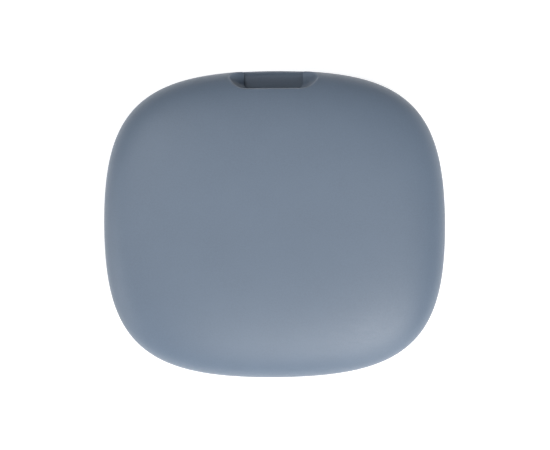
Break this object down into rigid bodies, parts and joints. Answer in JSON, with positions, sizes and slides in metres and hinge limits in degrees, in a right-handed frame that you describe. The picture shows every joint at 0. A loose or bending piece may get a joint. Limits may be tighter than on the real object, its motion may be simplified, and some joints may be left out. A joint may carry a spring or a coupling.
{
  "type": "bluetooth tracker tag",
  "caption": "Pebble-shaped bluetooth tracker tag with a pressable crowned face, a thumb notch, and a snap-off rear cover over a coin cell.",
  "frame": {"origin": "on the rest face, under the middle of the outline", "axes": "+Z out of the face, +Y towards the thumb notch, +X to the right of the face"},
  "size_m": [0.038, 0.0342, 0.009],
  "materials": {
    "slate_shell": "fine satin moulding grain, blue-grey",
    "frame_plastic": "moulded, black",
    "seal_silicone": "smooth silicone, brick red",
    "board_laminate": "solder mask, dark green",
    "screw_steel": "zinc plated",
    "cell_steel": "brushed stainless",
    "cell_seal": "natural nylon",
    "cell_fill": "pressed powder",
    "foam_pad": "closed-cell foam",
    "contact_gold": "gold plated spring bronze",
    "chip_mould": "epoxy moulding",
    "crystal_can": "nickel lid",
    "antenna_ceramic": "fired ceramic",
    "capacitor_ceramic": "fired ceramic, tan",
    "resistor_body": "glazed black",
    "switch_plastic": "moulded nylon",
    "spring_steel": "stamped stainless",
    "plunger_plastic": "moulded nylon, ivory",
    "adhesive_film": "clear film",
    "buzzer_brass": "rolled brass",
    "buzzer_ceramic": "silvered ceramic"
  },
  "bodies": {
    "rear_door": {"rear_cover": "slate_shell", "battery_pad": "foam_pad"},
    "coin_cell": {"cell_can": "cell_steel", "cell_cap": "cell_steel", "cell_gasket": "cell_seal", "cell_cathode": "cell_fill", "cell_separator": "cell_fill", "cell_anode": "cell_fill"},
    "chassis": {"inner_frame": "frame_plastic", "sealing_gasket": "seal_silicone", "main_circuit_board": "board_laminate", "board_screws": "screw_steel", "negative_contact": "contact_gold", "positive_contact": "contact_gold", "bluetooth_chip": "chip_mould", "radio_crystal": "crystal_can", "clock_crystal": "crystal_can", "chip_antenna": "antenna_ceramic", "buzzer_driver": "chip_mould", "boost_inductor": "chip_mould", "chip_capacitors": "capacitor_ceramic", "chip_resistors": "resistor_body", "bulk_capacitors": "capacitor_ceramic", "switch_base": "switch_plastic", "switch_dome": "spring_steel", "switch_cover_plate": "spring_steel", "buzzer_contacts": "contact_gold"},
    "front_cap": {"front_shell": "slate_shell", "buzzer_adhesive": "adhesive_film", "buzzer_brass_disc": "buzzer_brass", "buzzer_ceramic_disc": "buzzer_ceramic"},
    "plunger": {"switch_plunger": "plunger_plastic"}
  },
  "joints": [
    {"name": "body_lift", "type": "slide", "parent": "rear_door", "child": "chassis", "axis": [0, 0, 1], "range_m": [0, 0.014]},
    {"name": "cell_lift", "type": "slide", "parent": "rear_door", "child": "coin_cell", "axis": [0, 0, 1], "range_m": [0, 0.007]},
    {"name": "face_press", "type": "slide", "parent": "chassis", "child": "front_cap", "axis": [0, 0, -1], "range_m": [0, 0.0002], "stiffness_N_per_m": 6000, "deforming": ["buzzer_contacts"]},
    {"name": "plunger_press", "type": "slide", "parent": "chassis", "child": "plunger", "axis": [0, 0, -1], "range_m": [0, 0.0002], "deforming": ["switch_dome"]}
  ],
  "couplings": [
    {"joint": "cell_lift", "follows": "body_lift", "ratio": 0.5},
    {"joint": "plunger_press", "follows": "face_press", "ratio": 1}
  ]
}
